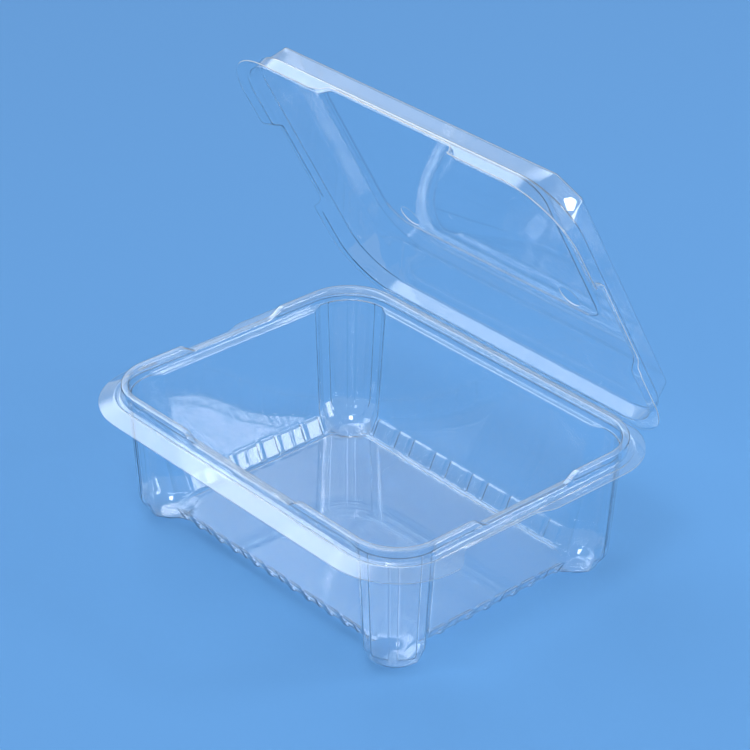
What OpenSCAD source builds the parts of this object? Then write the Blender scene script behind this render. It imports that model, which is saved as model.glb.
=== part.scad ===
// Clear clamshell pack: a deep tray and a shallow domed lid formed in one sheet, joined by a fold hinge
// Millimetres, the tray stands on its corner feet at z = 0, the hinge is at +y and the lid opens upwards

/* [Tray] */
// Length of the mouth inside the raised bead
rim_length = 180; // [160:1:220]
// Width of the mouth inside the raised bead
rim_width = 138; // [124:1:170]
// Depth of the floor below the bead top
tray_depth = 62; // [50:1:85]
// Corner radius of the mouth
corner_radius = 20; // [19:0.5:24]
// How far the floor edge lies inside the mouth
floor_inset = 16; // [14:0.5:17]
// Height of the corner feet below the floor
foot_height = 3; // [2:0.25:4]
// Thickness of the formed sheet
sheet = 0.45; // [0.4:0.05:0.6]

/* [Foot ribs] */
// Rib pairs along each long wall
long_rib_pairs = 5; // [4:1:6]
// Rib pairs along each short wall
short_rib_pairs = 3; // [3:1:4]
// Height of the rib band above the floor
rib_height = 6; // [5:0.5:8]
// How far a rib stands into the tray from the groove beside it
rib_step = 1.5; // [1:0.1:2]
// Width of a groove between ribs
groove_width = 2.6; // [2:0.1:3]
// Part of a rib pair taken by the wide rib
wide_share = 0.62; // [0.55:0.01:0.7]
// How far a corner pillar leans in from the mouth at the top of the ribs
pillar_lean = 3.8; // [3:0.1:4.5]
// Run of the slanting strip between a wall and a pillar at the top of the ribs
strip_run = 10.5; // [9:0.5:12]
// Hollow panels round each corner pillar, with a ridge between each two
flutes = 2; // [2:1:4]
// Depth of a hollow panel
flute_depth = 0.6; // [0.3:0.05:0.8]

/* [Rim] */
// Height of the bead above the flange
bead_height = 5.6; // [5:0.2:7]
// Width of the bead
bead_width = 3.3; // [2.8:0.1:4]
// How far the bead dips between the corners
bead_dip = 3.3; // [2:0.1:3.6]
// Width of the ledge inside the bead
ledge_width = 3.4; // [2.5:0.1:4]
// Reach of the flat flange from the mouth
flange_flat = 6.5; // [6:0.1:7]
// Reach of the wide flange from the mouth
flange_reach = 13; // [11:0.5:14]
// Reach of the flange round the back corners and of the lid's flange
trim_reach = 10; // [9:0.5:11]
// Fall of the sloping lip along the front
lip_drop = 3; // [2:0.25:4]
// Length of each snap lug near the front corners
lug_length = 14; // [10:1:16]

/* [Lid] */
// Height of the dome above its fold line
dome_height = 9.6; // [8:0.2:14]
// Inward run of the dome walls
dome_run = 4.2; // [3:0.2:5]
// Inward run of the dome wall on the hinge side
back_run = 16; // [12:0.5:20]
// Depth of the sunk panel in the lid top
panel_drop = 1.2; // [0.8:0.1:1.6]
// Diameter of the vent holes
vent_diameter = 11; // [8:0.5:12]
// Angle of the lid from closed in the standing pose
open_angle = 61; // [0:1:170]

/* [Fits] */
// Gap between the closed lid and the tray flange
nest_gap = 0.5; // [0.4:0.05:0.7]
// Gap between the lid wall and the bead
wall_gap = 1; // [0.9:0.05:1.3]
// Bare strip on each side of the fold line
fold_gap = 0.35; // [0.3:0.05:0.5]

/* [Hidden] */
$fn = 64;
clear_tint = [0.84, 0.91, 0.96, 0.5];
floor_z = foot_height + sheet;
rim_z = floor_z + tray_depth;
flange_z = rim_z - bead_height;
rib_z = floor_z + rib_height;
rib_q = -floor_inset + 4.6;
strip_top = 6;
pad_radius = 8;
pad_shift = 2.5;
wall_lean = (-ledge_width - rib_q) / (flange_z - rib_z);
hinge_q = flange_flat + 2.5;
hinge_y = rim_width / 2 + hinge_q;
hinge_z = flange_z + nest_gap / 2;
lid_flange_z = flange_z + nest_gap;
fold_z = rim_z + 1.6;
dome_z = fold_z + dome_height;
wall_q = bead_width + wall_gap;
dome_q = wall_q - 0.8;
lid_wall_low = 2.8;
ramp_run = 6;
ramp_steps = 8;
taper_run = 9;
straight_x = rim_length / 2 - corner_radius;
straight_y = rim_width / 2 - corner_radius;
front_dip = 0.43 * straight_x;
side_dip = 0.45 * straight_y;
front_notch = 0.5 * straight_x;
side_notch = 0.6 * straight_y;
tray_neck = [-0.93 * straight_y, 0.2 * straight_y];
panel_half_x = rim_length / 2 - 25;
panel_back = rim_width / 2 - 36;
panel_front = -rim_width / 2 + 14;
panel_radius = 12;
vent_x = 0.27 * rim_length;
vent_y = panel_back - 9;
lug_x = straight_x - lug_length / 2 + 1;
lug_rise = 0.5;
ledge_stub = -1.1;
cut_span = 2 * rim_length;

// Sides are numbered back, left, front, right; s runs along a side, q outwards from the mouth
function side_reach(k) = k % 2 == 0 ? rim_width / 2 : rim_length / 2;
function side_half(k) = k % 2 == 0 ? straight_x : straight_y;
function foot_half(k) = side_half(k) - strip_run;
function wall_at(z) = rib_q + wall_lean * (z - rib_z);
function towards_back(k) = k == 1 ? 1 : -1;

// A path is the upper face of the sheet, the thickness lies to the right of its direction
function unit(v) = v / norm(v);
function right_of(v) = [v[1], -v[0]];
function edge_normal(path, i) = right_of(unit(path[i + 1] - path[i]));
function joined(a, b) = (a + b) / (1 + a * b);
function shifted(path, i, t) =
    i == 0 ? path[0] + t * edge_normal(path, 0)
    : i == len(path) - 1 ? path[i] + t * edge_normal(path, i - 1)
    : path[i] + t * joined(edge_normal(path, i - 1), edge_normal(path, i));
function sheet_outline(path) =
    concat(path, [for (i = [len(path) - 1 : -1 : 0]) shifted(path, i, sheet)]);
function backwards(path) = [for (i = [len(path) - 1 : -1 : 0]) path[i]];
function ease(u) = (1 - cos(180 * u)) / 2;
function wave(half, flat, z_end, z_mid) = concat(
    [[-half, z_end]],
    [for (i = [0 : ramp_steps]) [-flat - ramp_run * (1 - i / ramp_steps),
        z_end + (z_mid - z_end) * ease(i / ramp_steps)]],
    [for (i = [0 : ramp_steps]) [flat + ramp_run * i / ramp_steps,
        z_mid + (z_end - z_mid) * ease(i / ramp_steps)]],
    [[half, z_end]]);

module at_side(k) {
    rotate([0, 0, 90 * k]) translate([0, side_reach(k), 0]) children();
}

module run_along(k, path, from, to) {
    at_side(k) translate([from, 0, 0]) rotate([90, 0, 90])
        linear_extrude(to - from) polygon(sheet_outline(path));
}

module across(k, q_in, q_out, outline) {
    at_side(k) translate([0, q_out, 0]) rotate([90, 0, 0])
        linear_extrude(q_out - q_in) polygon(outline);
}

module at_corner(k) {
    rotate([0, 0, 90 * k])
        translate([side_half(k), side_reach(k) - corner_radius, 0]) children();
}

module turn(k, path) {
    at_corner(k) rotate_extrude(angle = 90)
        polygon([for (p = sheet_outline(path)) [p[0] + corner_radius, p[1]]]);
}

// Narrowing end of a wide flange, cut to an S curve in plan
module tapered_end(k, path, from, turn_sign) {
    intersection() {
        run_along(k, path, min(from, from + turn_sign * taper_run), max(from, from + turn_sign * taper_run));
        at_side(k) translate([0, 0, flange_z - 2 * lip_drop]) linear_extrude(4 * lip_drop)
            polygon(concat(
                [[from, bead_width]],
                [for (i = [0 : ramp_steps]) [from + turn_sign * taper_run * i / ramp_steps,
                    flange_reach + 1 - (flange_reach + 1 - flange_flat) * ease(i / ramp_steps)]],
                [[from + turn_sign * taper_run, bead_width]]));
    }
}

// One wall foot: ribs standing in, grooves between them and the small cheeks that join the two
module rib_band(k, pairs) {
    half = foot_half(k);
    pitch = 2 * half / pairs;
    rib_foot = [-floor_inset, floor_z];
    rib_top = [rib_q - rib_step, rib_z];
    groove_foot = [-floor_inset + rib_step, floor_z];
    wall_foot = [rib_q, rib_z];
    rib_path = [rib_foot - [1, 0], rib_foot, rib_top, wall_foot + [0.2, 0]];
    groove_path = [rib_foot - [1, 0], groove_foot, wall_foot];
    cheek = concat([rib_foot, rib_top, wall_foot], [shifted(groove_path, 2, sheet), shifted(groove_path, 1, sheet)]);
    wide = wide_share * (pitch - 2 * groove_width);
    narrow = pitch - 2 * groove_width - wide;
    for (i = [0 : pairs - 1]) {
        start = -half + i * pitch;
        for (cell = [[0, wide], [wide + groove_width, narrow]]) {
            from = start + groove_width / 2 + cell[0];
            run_along(k, rib_path, from, from + cell[1]);
            for (edge = [from, from + cell[1] - sheet])
                at_side(k) translate([edge, 0, 0]) rotate([90, 0, 90]) linear_extrude(sheet) polygon(cheek);
        }
        run_along(k, groove_path, start + groove_width / 2 + wide, start + 1.5 * groove_width + wide);
        if (i > 0) run_along(k, groove_path, start - groove_width / 2, start + groove_width / 2);
    }
    run_along(k, groove_path, -half, -half + groove_width / 2);
    run_along(k, groove_path, half - groove_width / 2, half);
}

// Flat wall between two pillars, its ends leaning with them
module wall(k) {
    low = foot_half(k);
    high = side_half(k) - strip_top;
    top = flange_z - sheet / 2;
    intersection() {
        run_along(k, [[wall_at(rib_z - sheet), rib_z - sheet], [wall_at(top), top]], -high, high);
        across(k, -floor_inset, bead_width, [[-low, floor_z], [low, floor_z], [low, rib_z], [high, top],
            [high, rim_z], [-high, rim_z], [-high, top], [-low, rib_z]]);
    }
    edge = -ledge_width - 0.1;
    reach = side_half(k);
    at_side(k) translate([0, 0, flange_z - sheet]) linear_extrude(sheet)
        polygon([[-high, edge], [high, edge], [reach, ledge_stub], [reach, sheet], [-reach, sheet],
            [-reach, ledge_stub]]);
}

// Plan of a pillar at one height, from one wall over the strip and the ridged round to the other wall
function pillar_plan(wall_q, pillar_q, run) =
    let (side = corner_radius + wall_q + 0.15 * sheet, reach = corner_radius + pillar_q, points = 10 * flutes)
    concat([[side, -run - 0.4], [side, -run]],
        [for (i = [0 : points]) let (a = 90 * i / points,
            r = reach + flute_depth * (1 - pow(1 - ease(2 * i * flutes / points), 3)))
            [r * cos(a), r * sin(a)]],
        [[-run, side], [-run - 0.4, side]]);

// Heel, foot of the ridges and top of a pillar
pillar_levels = [floor_z - sheet / 2, rib_z, flange_z - 0.2];
pillar_plans = [
    pillar_plan(-floor_inset + rib_step, -pillar_lean - 1.6, strip_run),
    pillar_plan(rib_q, -pillar_lean, strip_run),
    pillar_plan(wall_at(flange_z - 0.2), -flute_depth - 0.15, strip_top)];

// Ridged corner pillar, lofted through its three plans
module pillar(k) {
    count = len(pillar_plans[0]);
    loop = 2 * count;
    points = [for (j = [0 : 2]) each concat(
        [for (p = pillar_plans[j]) [p[0], p[1], pillar_levels[j]]],
        [for (i = [count - 1 : -1 : 0]) let (p = shifted(pillar_plans[j], i, 0.6 * sheet))
            [p[0], p[1], pillar_levels[j]]])];
    sides = [for (j = [0 : 1], i = [0 : loop - 1]) let (n = (i + 1) % loop, a = j * loop, b = a + loop)
        each [[a + i, b + n, b + i], [a + i, a + n, b + n]]];
    low = [for (i = [0 : count - 2]) [loop - 1 - i, loop - 2 - i, i + 1, i]];
    high = [for (i = [0 : count - 2]) [2 * loop + i + 1, 3 * loop - 2 - i, 3 * loop - 1 - i, 2 * loop + i]];
    at_corner(k) polyhedron(points, concat(sides, low, high));
}

// Round foot pressed into the floor in a corner
module foot(k) {
    path = [[0, sheet], [pad_radius, sheet], [pad_radius + 1.5, floor_z], [pad_radius + 2.2, floor_z]];
    at_corner(k) translate([pad_shift, pad_shift]) rotate_extrude() polygon(sheet_outline(path));
}

module tray_floor() {
    translate([0, 0, floor_z - sheet]) linear_extrude(sheet) difference() {
        union() {
            square([2 * foot_half(0), rim_width - 2 * floor_inset + 0.2], center = true);
            square([rim_length - 2 * floor_inset + 0.2, 2 * foot_half(1)], center = true);
            for (k = [0 : 3]) at_corner(k) polygon(concat([[-strip_run - 1, -strip_run - 1]],
                [for (i = [0 : len(pillar_plans[0]) - 1]) shifted(pillar_plans[0], i, 0.3 * sheet)]));
        }
        for (k = [0 : 3]) at_corner(k) translate([pad_shift, pad_shift]) circle(r = pad_radius + 1.8);
    }
}

module tray_bead(k) {
    half = side_half(k);
    top = wave(half, k == 2 ? front_dip : side_dip, rim_z, rim_z - bead_dip);
    web = concat([[-half, flange_z - sheet], [half, flange_z - sheet]], backwards(top));
    across(k, 0, bead_width, sheet_outline(top));
    across(k, 0, sheet, web);
    across(k, bead_width - sheet, bead_width, web);
}

module snap_lugs() {
    for (side = [-1, 1]) {
        translate([side * lug_x, -rim_width / 2 - bead_width + 0.7, rim_z - 1.6])
            rotate([0, 90, 0]) cylinder(h = lug_length, r = 0.7 + lug_rise, center = true);
    }
}

module tray() {
    color(clear_tint) difference() {
        union() {
            tray_floor();
            for (k = [0 : 3]) {
                rib_band(k, k % 2 == 0 ? long_rib_pairs : short_rib_pairs);
                wall(k);
                foot(k);
                pillar(k);
            }
            bead = [[ledge_stub, flange_z], [0, flange_z], [0, rim_z], [bead_width, rim_z], [bead_width, flange_z]];
            flat_lip = [[bead_width - sheet, flange_z], [trim_reach, flange_z]];
            slope_lip = [[bead_width - sheet, flange_z], [flange_flat, flange_z],
                [flange_reach, flange_z - lip_drop]];
            for (k = [0, 1]) turn(k, concat(bead, [[trim_reach, flange_z]]));
            for (k = [2, 3]) turn(k, concat(bead, [[flange_flat, flange_z], [flange_reach, flange_z - lip_drop]]));
            run_along(0, concat([[-sheet, flange_z]], [for (i = [1 : 4]) bead[i]],
                [[hinge_q - fold_gap, flange_z]]), -straight_x, straight_x);
            run_along(2, slope_lip, -straight_x, straight_x);
            for (k = [1 : 3]) tray_bead(k);
            for (k = [1, 3]) {
                back = towards_back(k);
                neck = [tray_neck[0] * back, tray_neck[1] * back];
                run_along(k, [[bead_width - sheet, flange_z], [flange_flat, flange_z]], -straight_y, straight_y);
                run_along(k, slope_lip, min(-back * straight_y, neck[0]), max(-back * straight_y, neck[0]));
                tapered_end(k, slope_lip, neck[0], back);
                run_along(k, flat_lip, min(back * straight_y, neck[1]), max(back * straight_y, neck[1]));
                tapered_end(k, flat_lip, neck[1], -back);
            }
            snap_lugs();
        }
        translate([-cut_span / 2, hinge_y - fold_gap, 0]) cube([cut_span, cut_span, cut_span]);
    }
}

// Solid of the dome, grown by the sheet for the outer face
module dome_form(grow) {
    side_grow = grow * norm([dome_run, dome_height]) / dome_height;
    back_grow = grow * norm([back_run, dome_height]) / dome_height;
    low = fold_z - (grow > 0 ? 0 : sheet);
    drop = (fold_z - low) / dome_height;
    q_low = dome_q + side_grow + dome_run * drop;
    q_high = dome_q + side_grow - dome_run * (1 + grow / dome_height);
    high = dome_z + grow;
    back_low = rim_width / 2 + dome_q + back_grow + back_run * drop;
    back_high = rim_width / 2 + dome_q + back_grow - back_run * (1 + grow / dome_height);
    reach_y = rim_width / 2;
    reach_x = rim_length / 2;
    difference() {
        intersection() {
            union() {
                rotate([90, 0, 90]) linear_extrude(2 * straight_x, center = true)
                    polygon([[-reach_y - q_low, low], [reach_y + q_low, low],
                        [reach_y + q_high, high], [-reach_y - q_high, high]]);
                rotate([90, 0, 0]) linear_extrude(2 * straight_y, center = true)
                    polygon([[-reach_x - q_low, low], [reach_x + q_low, low],
                        [reach_x + q_high, high], [-reach_x - q_high, high]]);
                for (k = [0 : 3]) at_corner(k) translate([0, 0, low])
                    cylinder(h = high - low, r1 = corner_radius + q_low, r2 = corner_radius + q_high);
            }
            rotate([90, 0, 90]) linear_extrude(cut_span, center = true)
                polygon([[-cut_span, low - 1], [back_low, low - 1], [back_low, low],
                    [back_high, high], [back_high, high + 1], [-cut_span, high + 1]]);
        }
        translate([0, 0, dome_z + grow - panel_drop]) linear_extrude(2 * panel_drop)
            panel_plan(sheet - grow);
    }
}

module panel_plan(grow) {
    depth = panel_back - panel_front;
    mid = (panel_back + panel_front) / 2;
    translate([0, mid]) {
        square([2 * panel_half_x + 2 * grow, depth - 2 * panel_radius], center = true);
        square([2 * (panel_half_x - panel_radius), depth + 2 * grow], center = true);
        for (sx = [-1, 1], sy = [-1, 1])
            translate([sx * (panel_half_x - panel_radius), sy * (depth / 2 - panel_radius)])
                circle(r = panel_radius + grow);
    }
}

// Lid wall and flange on one side, low at the corners and raised between them for the vent gap
module lid_side(k, notch) {
    half = side_half(k);
    edge = wave(half, notch, lid_flange_z, fold_z - lid_wall_low);
    across(k, wall_q, flange_flat, sheet_outline(backwards(edge)));
    across(k, wall_q, wall_q + sheet, concat(edge, [[half, fold_z + sheet], [-half, fold_z + sheet]]));
    run_along(k, [[wall_q + sheet, fold_z], [dome_q, fold_z]], -half, half);
}

module closed_lid() {
    ring = [[wall_q, lid_flange_z], [wall_q, fold_z], [dome_q, fold_z]];
    lid_drop = lip_drop * (trim_reach - flange_flat) / (flange_reach - flange_flat);
    flat_lip = [[trim_reach, lid_flange_z], [wall_q, lid_flange_z]];
    slope_lip = [[trim_reach, lid_flange_z - lid_drop], [flange_flat, lid_flange_z], [wall_q, lid_flange_z]];
    difference() {
        union() {
            difference() {
                dome_form(sheet);
                dome_form(0);
                for (side = [-1, 1]) translate([side * vent_x, vent_y, fold_z])
                    cylinder(h = 2 * dome_height, d = vent_diameter);
            }
            for (k = [0, 1]) turn(k, concat([[trim_reach, lid_flange_z]], ring));
            for (k = [2, 3])
                turn(k, concat([[trim_reach, lid_flange_z - lid_drop], [flange_flat, lid_flange_z]], ring));
            run_along(0, concat([[hinge_q - fold_gap, lid_flange_z]], ring), -straight_x, straight_x);
            lid_side(2, front_notch);
            for (end = [-1, 1])
                run_along(2, slope_lip, min(end * straight_x, end * (front_notch + ramp_run)),
                    max(end * straight_x, end * (front_notch + ramp_run)));
            for (k = [1, 3]) {
                back = towards_back(k);
                lid_side(k, side_notch - ramp_run);
                run_along(k, slope_lip, min(-back * straight_y, -back * side_notch),
                    max(-back * straight_y, -back * side_notch));
                run_along(k, flat_lip, min(back * straight_y, back * side_notch),
                    max(back * straight_y, back * side_notch));
            }
        }
        translate([-cut_span / 2, hinge_y - fold_gap, 0]) cube([cut_span, cut_span, cut_span]);
    }
}

module lid() {
    color(clear_tint) translate([0, hinge_y, hinge_z]) rotate([-open_angle, 0, 0])
        translate([0, -hinge_y, -hinge_z]) closed_lid();
}

tray();
lid();
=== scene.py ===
import math
import bpy
import bmesh
from mathutils import Matrix, Vector


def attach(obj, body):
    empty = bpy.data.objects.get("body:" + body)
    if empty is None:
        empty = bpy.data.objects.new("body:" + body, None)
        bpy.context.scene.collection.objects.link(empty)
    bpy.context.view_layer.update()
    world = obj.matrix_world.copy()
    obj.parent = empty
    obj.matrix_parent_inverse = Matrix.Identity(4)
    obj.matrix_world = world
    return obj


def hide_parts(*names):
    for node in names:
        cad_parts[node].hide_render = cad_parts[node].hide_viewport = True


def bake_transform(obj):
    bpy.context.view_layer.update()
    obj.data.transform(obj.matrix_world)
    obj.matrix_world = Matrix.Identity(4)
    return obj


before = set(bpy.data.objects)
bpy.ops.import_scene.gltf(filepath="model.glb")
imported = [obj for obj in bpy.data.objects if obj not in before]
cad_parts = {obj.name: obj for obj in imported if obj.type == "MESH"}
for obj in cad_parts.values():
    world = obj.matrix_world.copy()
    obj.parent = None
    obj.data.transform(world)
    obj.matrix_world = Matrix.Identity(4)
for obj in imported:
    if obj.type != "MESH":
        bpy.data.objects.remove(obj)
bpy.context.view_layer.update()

print("frame loaded", sorted(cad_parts))

# Lengths of the pack and the camera are in millimetres, the meshes and the studio in metres
mm = 0.001

packSizes = {
    "mouthLength": 180, "mouthWidth": 138, "cornerRadius": 20, "sheet": 0.35,
    "floorZ": 3.45, "rimZ": 65.45, "flangeZ": 59.85,
    "hingeY": 78, "hingeZ": 60.1, "hingeGap": 0.35, "openAngle": 61,
}


def ease(u):
    u = min(1.0, max(0.0, u))
    return u * u * (3 - 2 * u)


def mixed(a, b, u):
    return a + (b - a) * u


# The lower of two values, with the change from one to the other spread over a width
def softLower(a, b, width):
    share = min(1.0, max(0.0, 0.5 + 0.5 * (b - a) / width))
    return mixed(b, a, share) - width * share * (1 - share)


# Stations run clockwise round the mouth: back, right, front, left, each side followed by its corner
def walkRound(sideSteps, cornerSteps):
    stations = []
    length, width = packSizes["mouthLength"] / 2, packSizes["mouthWidth"] / 2
    radius = packSizes["cornerRadius"]
    for side in (0, 3, 2, 1):
        half, reach = (length - radius, width) if side % 2 == 0 else (width - radius, length)
        for s in sideSteps(side, half):
            stations.append({"side": side, "s": s, "half": half, "corner": None,
                             "local": (s, reach), "out": (0.0, 1.0)})
        for turn in cornerSteps:
            angle = math.radians(90 * (1 - turn))
            out = (math.cos(angle), math.sin(angle))
            local = (half + radius * out[0], reach - radius + radius * out[1])
            stations.append({"side": side, "s": half, "half": half, "corner": turn,
                             "local": local, "out": out})
    for st in stations:
        spin = Matrix.Rotation(math.radians(90 * st["side"]), 2)
        st["base"] = spin @ Vector(st["local"])
        st["normal"] = spin @ Vector(st["out"])
    return stations


# Point of a station on the ring that lies q outside the mouth, with that ring's own corner radius
def ringPoint(st, q, radius):
    length, width = packSizes["mouthLength"] / 2 + q, packSizes["mouthWidth"] / 2 + q
    run, reach = (length - radius, width) if st["side"] % 2 == 0 else (width - radius, length)
    if st["corner"] is None:
        local = Vector((st["s"] / st["half"] * run, reach))
    else:
        local = Vector((run + radius * st["out"][0], reach - radius + radius * st["out"][1]))
    return Matrix.Rotation(math.radians(90 * st["side"]), 2) @ local


# Distance along a short side, counted towards the hinge
def towardsHinge(st):
    return {1: st["s"], 3: -st["s"]}.get(st["side"], 0.0)


# How far the flange may reach at a back corner before it meets the fold line
def hingeRoom(st):
    return (packSizes["hingeY"] - packSizes["hingeGap"] - st["base"].y) / max(1e-6, st["normal"].y)


# Open path with rounded bends, each a point with its radius and steps: its count of points is fixed
def rounded(start, bends, end):
    points = [start] + [bend[0] for bend in bends] + [end]
    result = [start]
    for before, (at, radius, steps), after in zip(points, bends, points[2:]):
        a, b = Vector(before) - Vector(at), Vector(after) - Vector(at)
        cut = min(radius, 0.45 * a.length, 0.45 * b.length)  # leaves room for the next round
        p, r = Vector(at) + a.normalized() * cut, Vector(at) + b.normalized() * cut
        for i in range(steps + 1):
            u = i / steps
            result.append(tuple(p.lerp(Vector(at), u).lerp(Vector(at).lerp(r, u), u)))
    result.append(end)
    return result


# Point between two neighbours of a path
def between(path, at, u):
    return tuple(Vector(path[at - 1]).lerp(Vector(path[at]), u))


# Extrudes a closed ring of edges from level to level, moving each new ring to its place
def loftRings(mesh, rings):
    count = len(rings[0])
    mark = mesh.verts.layers.int.new("station")
    made = bmesh.ops.create_circle(mesh, cap_ends=False, segments=count, radius=1)
    loop = sorted(made["verts"], key=lambda v: v.index)
    for i, v in enumerate(loop):
        v[mark] = i
        v.co = rings[0][i]
    edges = list({e for v in loop for e in v.link_edges})
    first = edges
    for ring in rings[1:]:
        grown = bmesh.ops.extrude_edge_only(mesh, edges=edges)["geom"]
        fresh = {part for part in grown if isinstance(part, bmesh.types.BMVert)}
        for v in fresh:
            v.co = ring[v[mark]]
        edges = [part for part in grown
                 if isinstance(part, bmesh.types.BMEdge) and all(v in fresh for v in part.verts)]
    return first, edges


def finishPiece(mesh, name, body, node):
    for edge in mesh.edges:
        edge.smooth = not edge.is_boundary
    data = bpy.data.meshes.new(name)
    mesh.to_mesh(data)
    mesh.free()
    for face in data.polygons:
        face.use_smooth = True
    piece = bpy.data.objects.new(name, data)
    bpy.context.scene.collection.objects.link(piece)
    data.materials.append(clearSheet)
    data.materials.append(cutEdge)
    if body:
        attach(piece, body)
    if node:
        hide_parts(node)
    return piece


# Thickness of the sheet, with the second material on its cut rim
def addSheet(piece, thickness, offset):
    solid = piece.modifiers.new("sheet", "SOLIDIFY")
    solid.thickness = thickness * mm
    solid.offset = offset
    solid.use_even_offset = False
    solid.use_quality_normals = True
    solid.material_offset_rim = 1
    even = piece.modifiers.new("even shading", "WEIGHTED_NORMAL")
    even.mode = "FACE_AREA"
    even.weight = 100
    even.keep_sharp = True


# Colours are sRGB hex, turned to linear once here
def tint(code):
    parts = [int(code[i:i + 2], 16) / 255 for i in (1, 3, 5)]
    return [p / 12.92 if p <= 0.04045 else ((p + 0.055) / 1.055) ** 2.4 for p in parts] + [1.0]


def addNode(tree, kind, settings=None, links=None):
    node = tree.nodes.new(kind)
    for key, value in (settings or {}).items():
        if hasattr(node, key):
            setattr(node, key, value)
        else:
            node.inputs[key].default_value = value
    for key, socket in (links or {}).items():
        tree.links.new(socket, node.inputs[key])
    return node


# Clear PET, vacuum formed: glossy, colourless, with slow waves where the sheet was drawn
def clearSheetMaterial():
    material = bpy.data.materials.new("clear PET sheet")
    material.use_nodes = True
    tree = material.node_tree
    shader = tree.nodes["Principled BSDF"]
    shader.inputs["Base Color"].default_value = tint("#fcfeff")
    shader.inputs["Transmission Weight"].default_value = 1.0
    shader.inputs["IOR"].default_value = 1.57
    place = addNode(tree, "ShaderNodeTexCoord")
    waves = addNode(tree, "ShaderNodeTexNoise",
                    {"Scale": 1 / 0.035, "Detail": 1.0, "Roughness": 0.4},
                    {"Vector": place.outputs["Object"]})  # waves about 35 mm long
    grit = addNode(tree, "ShaderNodeTexNoise",
                   {"Scale": 1 / 0.004, "Detail": 2.0, "Roughness": 0.6},
                   {"Vector": place.outputs["Object"]})  # handling haze in 4 mm blotches
    rough = addNode(tree, "ShaderNodeMapRange",
                    {"From Min": 0.35, "From Max": 0.75, "To Min": 0.015, "To Max": 0.06},
                    {"Value": grit.outputs["Fac"]})
    bump = addNode(tree, "ShaderNodeBump", {"Strength": 0.12, "Distance": 0.0008},
                   {"Height": waves.outputs["Fac"]})
    tree.links.new(rough.outputs["Result"], shader.inputs["Roughness"])
    tree.links.new(bump.outputs["Normal"], shader.inputs["Normal"])
    return material


# Sheared edge of the sheet: it gathers light from inside, so it shows as a pale frosted line
def cutEdgeMaterial():
    material = bpy.data.materials.new("sheared PET edge")
    material.use_nodes = True
    tree = material.node_tree
    shader = tree.nodes["Principled BSDF"]
    shader.inputs["Transmission Weight"].default_value = 0.35
    shader.inputs["IOR"].default_value = 1.57
    place = addNode(tree, "ShaderNodeTexCoord")
    nicks = addNode(tree, "ShaderNodeTexNoise", {"Scale": 1 / 0.002, "Detail": 2.0},
                    {"Vector": place.outputs["Object"]})  # nicks of the blade, about 2 mm
    pale = addNode(tree, "ShaderNodeMix", {"data_type": "RGBA"}, {0: nicks.outputs["Fac"]})
    pale.inputs[6].default_value = tint("#e6eff6")
    pale.inputs[7].default_value = tint("#ffffff")
    rough = addNode(tree, "ShaderNodeMapRange", {"To Min": 0.25, "To Max": 0.5},
                    {"Value": nicks.outputs["Fac"]})
    tree.links.new(pale.outputs[2], shader.inputs["Base Color"])
    tree.links.new(rough.outputs["Result"], shader.inputs["Roughness"])
    return material


clearSheet = clearSheetMaterial()
cutEdge = cutEdgeMaterial()

# Camera at the photograph's angle
cameraSetup = {
    "place": (726.24, -654.77, 646.1), "lens": 130.49,
    "azimuth": 47.89, "elevation": 30.03, "roll": 0.65,
}


def addCamera():
    a, e, r = (math.radians(cameraSetup[key]) for key in ("azimuth", "elevation", "roll"))
    back = Vector((math.sin(a) * math.cos(e), -math.cos(a) * math.cos(e), math.sin(e)))
    right = Vector((math.cos(a), math.sin(a), 0))
    up = back.cross(right)
    data = bpy.data.cameras.new("camera")
    data.lens = cameraSetup["lens"]
    data.sensor_width = 36
    data.clip_start = 0.01
    camera = bpy.data.objects.new("camera", data)
    turned = Matrix((right * math.cos(r) + up * math.sin(r),
                     -right * math.sin(r) + up * math.cos(r), back)).transposed()
    camera.matrix_world = Matrix.Translation(Vector(cameraSetup["place"]) * mm) @ turned.to_4x4()
    bpy.context.scene.collection.objects.link(camera)
    bpy.context.scene.camera = camera


addCamera()
print("camera placed")

# The tray: ribs at the wall foot, ridged corner pillars, round feet, a bead that dips between
# the corners, and a flange with a lip
trayShape = {
    "floorEdge": 19, "floorLine": 17.7, "lineWidth": 1.5, "lineDeep": 0.7,  # line pressed round the floor
    "floorInset": 16, "ribHeight": 7, "ribStep": 1.5, "ribEdge": 0.4,
    "ribCrease": 0.45, "creaseHalf": 0.45,
    "longPairs": 5, "shortPairs": 3, "wideShare": 0.62,  # pairs of a wide and a narrow rib
    "grooveFoot": 15, "grooveWidth": 2.6, "grooveTop": 0.85,
    "wallFoot": -11.25, "wallBow": 0.8,
    "stripRun": 10.5, "stripTop": 6, "foldShare": 0.13, "foldSteps": (0.35, 0.7, 1.05, 1.4),
    "pillarLean": 3.8, "heelTuck": 3.2, "pillarLedge": 0.75,
    "edgeRidge": 0.155, "midRidge": 0.08, "ridgeFlank": 0.022,  # shares of the corner's turn
    "fluteDeep": 0.95, "fluteFrom": 6.5, "fluteRise": 3, "fluteFade": 1.2,
    "padRadius": 5.4, "padFlare": 5.4, "padShift": 2.5, "footDepth": 3.05, "cupReach": 2,
    "ledge": 3.4, "beadWidth": 3.3,
    "beadDip": 3.3, "dipRamp": 6, "frontDip": 30.1, "sideDip": 22.05,
    "lugLength": 14, "lugAt": 64, "lugRise": 0.5, "lugRamp": 1.5, "lugBelow": 1.7,
    "pressAt": 5.0, "pressHalf": 0.5, "pressDeep": 0.55,  # line pressed along the flange
    "flangeFlat": 6.5, "flangeReach": 13, "trimReach": 10, "trimRamp": 20,
    "lipDrop": 3, "lipLeast": 0.4,
    "neck": (-45.6, 9.8), "neckTaper": 9, "neckLip": 0.6,
    "stationGap": 3, "stationRoom": 0.7, "stationLeast": 0.05,
}


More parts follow.
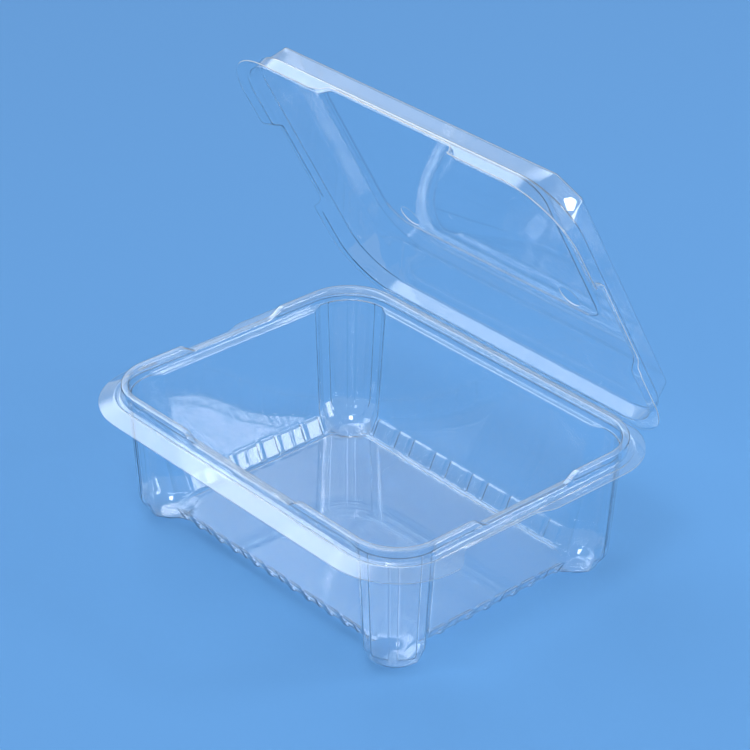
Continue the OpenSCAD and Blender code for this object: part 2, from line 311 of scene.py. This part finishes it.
def ribLayout(side, half):
    pairs = trayShape["longPairs"] if side % 2 == 0 else trayShape["shortPairs"]
    half = half - trayShape["stripRun"]
    pitch = 2 * half / pairs
    gap = trayShape["grooveWidth"]
    wide = trayShape["wideShare"] * (pitch - 2 * gap)
    narrow = pitch - 2 * gap - wide
    cells = []
    for i in range(pairs):
        start = -half + i * pitch + gap / 2
        cells.append((start, start + wide, True))
        cells.append((start + wide + gap, start + wide + gap + narrow, False))
    return cells


# Stations along a side: close at the folds and rib edges, and a plain grid between
def traySteps(side, half):
    strip = half - trayShape["stripRun"]
    edge, crease = trayShape["ribEdge"], trayShape["creaseHalf"]
    fine = [-half, half]
    for end in (-1, 1):
        fine += [end * (strip + k) for k in (-edge, 0) + trayShape["foldSteps"]]
        fine += [end * (half - k) for k in trayShape["foldSteps"]]
    for low, high, wide in ribLayout(side, half):
        for place in (low, high):
            fine += [place + k * edge for k in (-1, -0.4, 0.4, 1)]
        fine += [(low + high) / 2 + k for k in ((-crease, 0, crease) if wide else (0,))]
    count = round(2 * half / trayShape["stationGap"])
    steps = sorted(fine)
    for s in [-half + 2 * half * i / count for i in range(count + 1)]:
        if min(abs(s - t) for t in steps) > trayShape["stationRoom"]:
            steps.append(s)
    steps.sort()
    least = trayShape["stationLeast"]
    return [s for i, s in enumerate(steps) if i == 0 or s - steps[i - 1] > least]


# How much of a rib there is at a station, and of the crease down the middle of a wide rib
def ribAt(st):
    if st["corner"] is not None:
        return 0.0, 0.0
    share, crease = 0.0, 0.0
    edge, s = trayShape["ribEdge"], st["s"]
    for low, high, wide in ribLayout(st["side"], st["half"]):
        rise, fall = ease((s - low + edge) / (2 * edge)), ease((high + edge - s) / (2 * edge))
        share = max(share, min(rise, fall))
        if wide:
            crease = max(crease, ease(1 - abs(s - (low + high) / 2) / trayShape["creaseHalf"]))
    return share, crease


def dipAt(st):
    if st["corner"] is not None or st["side"] == 0:
        return 0.0
    flat = trayShape["frontDip"] if st["side"] == 2 else trayShape["sideDip"]
    ramp = trayShape["dipRamp"]
    return trayShape["beadDip"] * ease((flat + ramp - abs(st["s"])) / ramp)


# Reach and fall of the flange's edge: wide with a falling lip in front, narrow at the sides' waist
def trayLip(st):
    reach, drop = trayShape["flangeReach"], trayShape["lipDrop"]
    side, corner = st["side"], st["corner"]
    if corner is None and side == 0:
        return packSizes["hingeY"] - packSizes["mouthWidth"] / 2 - packSizes["hingeGap"], 0.0
    if corner is None and side in (1, 3):
        y = towardsHinge(st)
        low, high = trayShape["neck"]
        taper, ramp = trayShape["neckTaper"], trayShape["trimRamp"]
        waist = min(ease((y - low) / taper), ease((high - y) / taper))
        fall = 1 - ease((y - low) / taper)
        wide = mixed(reach, trayShape["trimReach"], ease((y + ramp) / ramp))
        return mixed(wide, trayShape["flangeFlat"] + trayShape["neckLip"], waist), drop * fall
    if corner is not None and side in (0, 1):
        reach = trayShape["trimReach"]
        return (min(reach, hingeRoom(st)) if st["normal"].y > 0.01 else reach), 0.0
    return reach, drop


# Snap lug near each end of the front bead
def lugAt(st):
    if st["side"] != 2 or st["corner"] is not None:
        return 0.0
    away = abs(abs(st["s"]) - trayShape["lugAt"])
    return trayShape["lugRise"] * ease((trayShape["lugLength"] / 2 - away) / trayShape["lugRamp"])


# Share of the way from the flat wall (0) over the slanting strip to the corner pillar (1)
def stripAt(st):
    if st["corner"] is not None:
        return 1.0
    u = (abs(st["s"]) - st["half"] + trayShape["stripRun"]) / trayShape["stripRun"]
    fold = trayShape["foldShare"]
    if u <= 0:
        return 0.0
    if u < fold:
        return u * u / (2 * fold * (1 - fold))
    if u > 1 - fold:
        return 1 - (1 - u) * (1 - u) / (2 * fold * (1 - fold))
    return (u - fold / 2) / (1 - fold)


# The tray's profile at a station, from the floor up the wall and over the bead to the flange's edge
def trayPath(st):
    shape = trayShape
    floorZ, flangeZ = packSizes["floorZ"], packSizes["flangeZ"]
    ribZ = floorZ + shape["ribHeight"]
    share, crease = ribAt(st)
    strip = stripAt(st)
    heelQ = -shape["pillarLean"] - shape["heelTuck"]
    footQ = mixed(mixed(-shape["grooveFoot"], -shape["floorInset"], share), heelQ, strip)
    wallQ = mixed(shape["wallFoot"], -shape["pillarLean"], strip)
    grooveTop = (mixed(footQ, wallQ, shape["grooveTop"]), mixed(floorZ, ribZ, shape["grooveTop"]))
    ribTop = (shape["wallFoot"] - shape["ribStep"] + shape["ribCrease"] * crease, ribZ)
    foot = (footQ + shape["ribCrease"] * crease, floorZ)
    top = (mixed(grooveTop[0], ribTop[0], share), mixed(grooveTop[1], ribTop[1], share))
    ledge = mixed(shape["ledge"], shape["pillarLedge"], strip)
    rim, wide = packSizes["rimZ"] - dipAt(st), shape["beadWidth"]
    reach, drop = trayLip(st)
    flat = min(shape["flangeFlat"], reach - shape["lipLeast"])
    line, side = -shape["floorLine"], shape["lineWidth"] / 2
    press, near = shape["pressAt"], shape["pressHalf"]
    bends = [
        ((line - side, floorZ), 0.3, 1), ((line, floorZ - shape["lineDeep"] * (1 - strip)), 0.3, 1),
        ((line + side, floorZ), 0.3, 1), (foot, 0.5, 2), (top, 0.4, 2), ((wallQ, ribZ), 0.5, 2),
        ((-ledge, flangeZ), 0.9, 3), ((0, flangeZ), 0.8, 2), ((0, rim), 1.0, 3),
        ((wide, rim), 1.0, 3), ((wide + lugAt(st), rim - shape["lugBelow"]), 0.6, 2),
        ((wide, flangeZ), 0.8, 2),
        ((press - near, flangeZ), 0.3, 1), ((press, flangeZ - shape["pressDeep"]), 0.3, 1),
        ((press + near, flangeZ), 0.3, 1), ((flat, flangeZ), 1.0, 3),
    ]
    path = rounded((-shape["floorEdge"], floorZ), bends, (reach, flangeZ - drop))
    path.insert(-1, tuple(Vector(path[-1]).lerp(Vector(path[-2]), 0.06)))
    # more rings up the wall for its bow and the ridges, and by the rib band and the floor for the foot
    for at, shares in ((16, (0.03, 0.1, 0.3, 0.5, 0.7, 0.9, 0.97)), (10, (0.25, 0.5, 0.75)),
                       (7, (0.12, 0.25, 0.37, 0.5, 0.62, 0.75, 0.87))):
        path[at:at] = [between(path, at, u) for u in shares]
    return path


# Round foot pressed into the floor in a corner
def footCup(x, y, z):
    axis = [size / 2 - packSizes["cornerRadius"] + trayShape["padShift"]
            for size in (packSizes["mouthLength"], packSizes["mouthWidth"])]
    away = math.hypot(abs(x) - axis[0], abs(y) - axis[1])
    deep = trayShape["footDepth"]
    z -= deep * (1 - ease((away - trayShape["padRadius"]) / trayShape["padFlare"]))
    return max(z, packSizes["floorZ"] - deep)


# Hollow panels between a pillar's three ridges, ending round above the foot
def hollowAt(turn, z):
    shape = trayShape
    ridge = max(ease((shape["edgeRidge"] - min(turn, 1 - turn)) / shape["ridgeFlank"]),
                ease((shape["midRidge"] - abs(turn - 0.5)) / shape["ridgeFlank"]))
    ends = (ease((z - shape["fluteFrom"]) / shape["fluteRise"])
            * ease((packSizes["flangeZ"] - z) / shape["fluteFade"]))
    return shape["fluteDeep"] * (1 - ridge) * ends


# Place of a path point: below the ledge the walls bow out, and widen upwards as the strips lean
def trayPoint(st, q, z):
    radius = packSizes["cornerRadius"]
    if q >= 0:
        return ringPoint(st, q, radius + q)
    if st["corner"] is not None:
        q += hollowAt(st["corner"], z)
        return ringPoint(st, q, radius + q)
    half, run = st["half"], trayShape["stripRun"]
    ribZ = packSizes["floorZ"] + trayShape["ribHeight"]
    up = min(1.0, max(0.0, (z - ribZ) / (packSizes["flangeZ"] - ribZ)))
    flat = half - mixed(run, trayShape["stripTop"], up)
    if abs(st["s"]) <= half - run:
        along = st["s"] / (half - run)
        s = along * flat
        q += trayShape["wallBow"] * 4 * up * (1 - up) * (1 - along ** 2)
    else:
        s = math.copysign(mixed(flat, half, (abs(st["s"]) - half + run) / run), st["s"])
    return ringPoint(dict(st, s=s), q, radius + q)


def trayRings():
    # close together at the ridges' flanks
    turns = (0.03, 0.07, 0.115, 0.133, 0.144, 0.155, 0.175, 0.21, 0.26,
             0.31, 0.36, 0.4, 0.42, 0.431, 0.442, 0.46, 0.5)
    stations = walkRound(traySteps, turns + tuple(1 - t for t in turns[-2::-1]))
    floorZ = packSizes["floorZ"]
    columns = []
    for st in stations:
        column = []
        for q, z in trayPath(st):
            flat = trayPoint(st, q, z)
            if z < floorZ + trayShape["cupReach"]:
                z = footCup(flat.x, flat.y, z)
            column.append(Vector((flat.x, flat.y, z)) * mm)
        columns.append(column)
    rings = [[column[level] for column in columns] for level in range(len(columns[0]))]
    inward = []
    for share in (0.985, 0.97, 0.955, 0.94, 0.925, 0.91, 0.895, 0.88, 0.86, 0.8, 0.6, 0.3, 0.03):
        ring = []
        for p in rings[0]:
            z = footCup(p.x / mm * share, p.y / mm * share, floorZ)
            ring.append(Vector((p.x * share, p.y * share, z * mm)))
        inward.append(ring)
    return inward[::-1] + rings


def makeTray():
    mesh = bmesh.new()
    floorEdges = loftRings(mesh, trayRings())[0]
    bmesh.ops.contextual_create(mesh, geom=floorEdges)
    bmesh.ops.remove_doubles(mesh, verts=mesh.verts, dist=1e-6)
    bmesh.ops.recalc_face_normals(mesh, faces=mesh.faces)
    if sum(f.normal.z * f.calc_area() for f in mesh.faces) < 0:
        bmesh.ops.reverse_faces(mesh, faces=mesh.faces)
    tray = finishPiece(mesh, "traySheet", "tray", "tray")
    addSheet(tray, packSizes["sheet"], -1)
    print("tray", len(tray.data.polygons), "faces")


makeTray()

# The lid: built closed over the tray, then turned open about the fold line
lidShape = {
    "wallQ": 4.3, "flangeZ": 60.35, "foldZ": 67.05, "lowWall": 2.8,
    "domeQ": 3.5, "domeHeight": 9.6, "domeRun": 4.2, "backRun": 16, "backRound": 4,
    "cornerCut": 9.3, "topLip": 3,
    "panelDrop": 1.2, "panelRound": 0.15, "panelRadius": 12,
    "panelHalfX": 65, "panelBack": 33, "panelFront": -55,
    "ventX": 48.6, "ventY": 24, "ventDiameter": 11, "ventSegments": 40,
    "frontNotch": 35, "sideNotch": 23.4, "ramp": 6, "neckSoon": 1.6, "neckLip": 0.6,
    "flangeFlat": 6.5, "flangeReach": 10, "lipDrop": 1.6, "lipLeast": 0.4, "stationGap": 1.6,
}


def lidSteps(side, half):
    count = round(2 * half / lidShape["stationGap"])
    return [-half + 2 * half * i / count for i in range(count + 1)]


# Where the lid's wall is raised between the corners
def notchAt(st):
    if st["corner"] is not None or st["side"] == 0:
        return 0.0
    flat = lidShape["frontNotch"] if st["side"] == 2 else lidShape["sideNotch"]
    return ease((flat + lidShape["ramp"] - abs(st["s"])) / lidShape["ramp"])


def lidLip(st, notch):
    reach, drop = lidShape["flangeReach"], lidShape["lipDrop"]
    side, corner = st["side"], st["corner"]
    if corner is None and side == 0:
        return packSizes["hingeY"] - packSizes["mouthWidth"] / 2 - packSizes["hingeGap"], 0.0
    if corner is not None and side in (0, 1):
        return (min(reach, hingeRoom(st)) if st["normal"].y > 0.01 else reach), 0.0
    neck = lidShape["flangeFlat"] + lidShape["neckLip"]
    wide = mixed(reach, neck, ease(notch * lidShape["neckSoon"]))
    if corner is None and side in (1, 3):
        return wide, drop * (1 - notch) * (1.0 if towardsHinge(st) < 0 else 0.0)
    return wide, drop * (1 - notch)


def runOf(st):
    return lidShape["backRun"] if st["corner"] is None and st["side"] == 0 else lidShape["domeRun"]


# Point of the dome: round at its foot, a flat facet across each corner at its top, cut by the back slope
def domePoint(st, q, z):
    shape = lidShape
    up = min(1.0, (z - shape["foldZ"]) / shape["domeHeight"])
    flat = st["base"] + st["normal"] * q
    if st["corner"] is not None and up > 0:
        radius = packSizes["cornerRadius"] + q
        across = min(radius / max(st["out"]), (radius + shape["cornerCut"]) / sum(st["out"]))
        flat += st["normal"] * (across - radius) * up
    if up > 0.001:  # the foot of the dome itself stays where it is
        inset = max(0.0, shape["domeQ"] - runOf(st) * up - q)
        backLine = packSizes["mouthWidth"] / 2 + shape["domeQ"] - shape["backRun"] * up
        flat.y = softLower(flat.y, backLine - inset, shape["backRound"] * min(1.0, 3 * up))
    return (flat.x, flat.y, z)


# Point of the sunk panel's outline, grown outwards by a distance
def panelPoint(st, grow, z):
    halfX = lidShape["panelHalfX"] + grow
    halfY = (lidShape["panelBack"] - lidShape["panelFront"]) / 2 + grow
    radius = lidShape["panelRadius"] + grow
    reach, half = (halfY, halfX - radius) if st["side"] % 2 == 0 else (halfX, halfY - radius)
    if st["corner"] is None:
        local = Vector((st["s"] / st["half"] * half, reach))
    else:
        local = Vector((half + radius * st["out"][0], reach - radius + radius * st["out"][1]))
    flat = Matrix.Rotation(math.radians(90 * st["side"]), 2) @ local
    return Vector((flat.x, flat.y + (lidShape["panelBack"] + lidShape["panelFront"]) / 2, z))


# The lid's profile at a station, from the flange's edge up the wall to the top of the dome
def lidPath(st):
    shape = lidShape
    notch = notchAt(st)
    wallQ, domeQ, foldZ = shape["wallQ"], shape["domeQ"], shape["foldZ"]
    flangeZ = mixed(shape["flangeZ"], foldZ - shape["lowWall"], notch)
    reach, drop = lidLip(st, notch)
    flat = min(shape["flangeFlat"], reach - shape["lipLeast"])
    domeZ = foldZ + shape["domeHeight"]
    topQ = domeQ - runOf(st)
    bends = [((flat, flangeZ), 1.2, 4), ((wallQ, flangeZ), 0.8, 4), ((wallQ, foldZ), 0.5, 4),
             ((domeQ, foldZ), 0.4, 4), ((topQ, domeZ), 1.6, 4)]
    path = rounded((reach, flangeZ - drop), bends, (topQ - shape["topLip"], domeZ))
    slope = len(path) - 6  # the last bend's first point: the new rings stand on the dome's slope
    path[slope:slope] = [between(path, slope, u) for u in (0.06, 0.3, 0.7, 0.94)]
    path.insert(1, between(path, 1, 0.06))
    return path


def opened(p):
    turn = Matrix.Rotation(math.radians(-packSizes["openAngle"]), 3, "X")
    hinge = Vector((0, packSizes["hingeY"], packSizes["hingeZ"]))
    return (hinge + turn @ (Vector(p) - hinge)) * mm


def makeLid():
    # close together at the facet's ends
    turns = (0.05, 0.1, 0.16, 0.22, 0.265, 0.28, 0.292, 0.31, 0.35, 0.42, 0.5)
    stations = walkRound(lidSteps, turns + tuple(1 - t for t in turns[-2::-1]))
    domeZ = lidShape["foldZ"] + lidShape["domeHeight"]
    drop, soft = lidShape["panelDrop"], lidShape["panelRound"]
    panelStep = ((1.6, 0), (0.6, 0), (0.2, soft), (-0.2, drop - soft), (-0.6, drop), (-2.0, drop))
    columns = []
    for st in stations:
        column = [opened(domePoint(st, q, z)) for q, z in lidPath(st)]
        column += [opened(panelPoint(st, grow, domeZ - down)) for grow, down in panelStep]
        columns.append(column)
    rings = [[column[level] for column in columns] for level in range(len(columns[0]))]
    mesh = bmesh.new()
    panelEdges = loftRings(mesh, rings)[1]
    turn = Matrix.Rotation(math.radians(-packSizes["openAngle"]), 4, "X")
    vents = []
    for side in (-1, 1):
        centre = opened((side * lidShape["ventX"], lidShape["ventY"], domeZ - drop))
        made = bmesh.ops.create_circle(mesh, cap_ends=False, segments=lidShape["ventSegments"],
                                       radius=lidShape["ventDiameter"] / 2 * mm,
                                       matrix=Matrix.Translation(centre) @ turn)
        vents += list({e for v in made["verts"] for e in v.link_edges})
    bmesh.ops.triangle_fill(mesh, use_beauty=True, use_dissolve=False, edges=panelEdges + vents)
    bmesh.ops.recalc_face_normals(mesh, faces=mesh.faces)
    outward = turn.to_3x3() @ Vector((0, 0, 1))
    if sum(f.normal.dot(outward) * f.calc_area() for f in mesh.faces) < 0:
        bmesh.ops.reverse_faces(mesh, faces=mesh.faces)
    lid = finishPiece(mesh, "lidSheet", "lid", "lid")
    addSheet(lid, packSizes["sheet"], 1)
    print("lid", len(lid.data.polygons), "faces")


makeLid()

# The fold: a narrow rounded web from the tray's flange round the hinge line to the lid's flange
foldShape = {
    "halfLength": 70, "radius": 0.55, "sheet": 0.3,
    "fromAngle": -127, "toAngle": 66, "steps": 14,
}


def makeFold():
    half, radius, steps = foldShape["halfLength"], foldShape["radius"], foldShape["steps"]
    hinge = Vector((0, packSizes["hingeY"], packSizes["hingeZ"]))
    mesh = bmesh.new()
    chain = []
    for i in range(steps + 1):
        angle = math.radians(mixed(foldShape["fromAngle"], foldShape["toAngle"], i / steps))
        around = Vector((-half, radius * math.cos(angle), radius * math.sin(angle)))
        chain.append(mesh.verts.new((hinge + around) * mm))
    edges = [mesh.edges.new(pair) for pair in zip(chain, chain[1:])]
    grown = bmesh.ops.extrude_edge_only(mesh, edges=edges)["geom"]
    bmesh.ops.translate(mesh, verts=[p for p in grown if isinstance(p, bmesh.types.BMVert)],
                        vec=Vector((2 * half * mm, 0, 0)))
    bmesh.ops.recalc_face_normals(mesh, faces=mesh.faces)
    fold = finishPiece(mesh, "foldWeb", None, None)
    addSheet(fold, foldShape["sheet"], 0)
    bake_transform(fold)


makeFold()
print("fold made")

# Plain floor, a smooth glow from the back left, and compact lamps for sparkle on the rounds
studio = {
    "floorTint": "#4f86bd", "floorRough": 0.9, "floorSize": 6,
    "skyTint": "#eef4f8", "world": 0.72,
    "glow": 3.4, "glowTowards": (-0.66, 0.12, 0.74), "glowFrom": 32, "glowTo": 12,
    "bounces": 64,  # a ray through the pack crosses many sheets
    "boxes": [
        {"name": "softBoxOver", "towards": (0.15, -0.3, 0.94), "distance": 1.6,
         "size": (0.32, 0.32), "power": 6},
        {"name": "softBoxBack", "towards": (0.55, 0.55, 0.62), "distance": 1.6,
         "size": (0.3, 0.3), "power": 5},
        {"name": "softBoxLow", "towards": (0.78, 0.58, 0.26), "distance": 1.6,
         "size": (0.8, 0.36), "power": 5},
        {"name": "softBoxFront", "towards": (0.35, -0.75, 0.55), "distance": 2.2,
         "size": (0.6, 0.5), "power": 3},
    ],
}


def addFloor():
    data = bpy.data.meshes.new("floor")
    plane = bmesh.new()
    bmesh.ops.create_grid(plane, x_segments=1, y_segments=1, size=studio["floorSize"])
    plane.to_mesh(data)
    plane.free()
    stage = bpy.data.objects.new("floor", data)
    bpy.context.scene.collection.objects.link(stage)
    paper = bpy.data.materials.new("matt paper sweep")
    paper.use_nodes = True
    shader = paper.node_tree.nodes["Principled BSDF"]
    shader.inputs["Base Color"].default_value = tint(studio["floorTint"])
    shader.inputs["Roughness"].default_value = studio["floorRough"]
    data.materials.append(paper)


def addLamps():
    for box in studio["boxes"]:
        data = bpy.data.lights.new(box["name"], "AREA")
        data.shape = "RECTANGLE"
        data.size, data.size_y = box["size"]
        data.energy = box["power"]
        lamp = bpy.data.objects.new(box["name"], data)
        direction = Vector(box["towards"]).normalized()
        lamp.location = direction * box["distance"]
        lamp.rotation_euler = direction.to_track_quat("Z", "Y").to_euler()
        bpy.context.scene.collection.objects.link(lamp)


# Even sky with one smooth bright patch
def addSky():
    world = bpy.data.worlds.new("studio")
    world.use_nodes = True
    tree = world.node_tree
    sky = tree.nodes["Background"]
    sky.inputs["Color"].default_value = tint(studio["skyTint"])
    place = addNode(tree, "ShaderNodeTexCoord")
    facing = addNode(tree, "ShaderNodeVectorMath", {"operation": "DOT_PRODUCT"},
                     {0: place.outputs["Generated"]})
    facing.inputs[1].default_value = Vector(studio["glowTowards"]).normalized()
    edge, full = (math.cos(math.radians(studio[key])) for key in ("glowFrom", "glowTo"))
    glow = addNode(tree, "ShaderNodeMapRange",
                   {"interpolation_type": "SMOOTHERSTEP", "From Min": edge, "From Max": full,
                    "To Min": studio["world"], "To Max": studio["world"] + studio["glow"]},
                   {"Value": facing.outputs["Value"]})
    tree.links.new(glow.outputs["Result"], sky.inputs["Strength"])
    bpy.context.scene.world = world


addFloor()
addLamps()
addSky()
bpy.context.scene.view_settings.view_transform = "Standard"
bpy.context.scene.cycles.max_bounces = studio["bounces"]
bpy.context.scene.cycles.transmission_bounces = studio["bounces"]
bpy.context.scene.cycles.blur_glossy = 0  # reflections stay crisp after a soft bounce
print("studio lit")

bpy.context.view_layer.update()
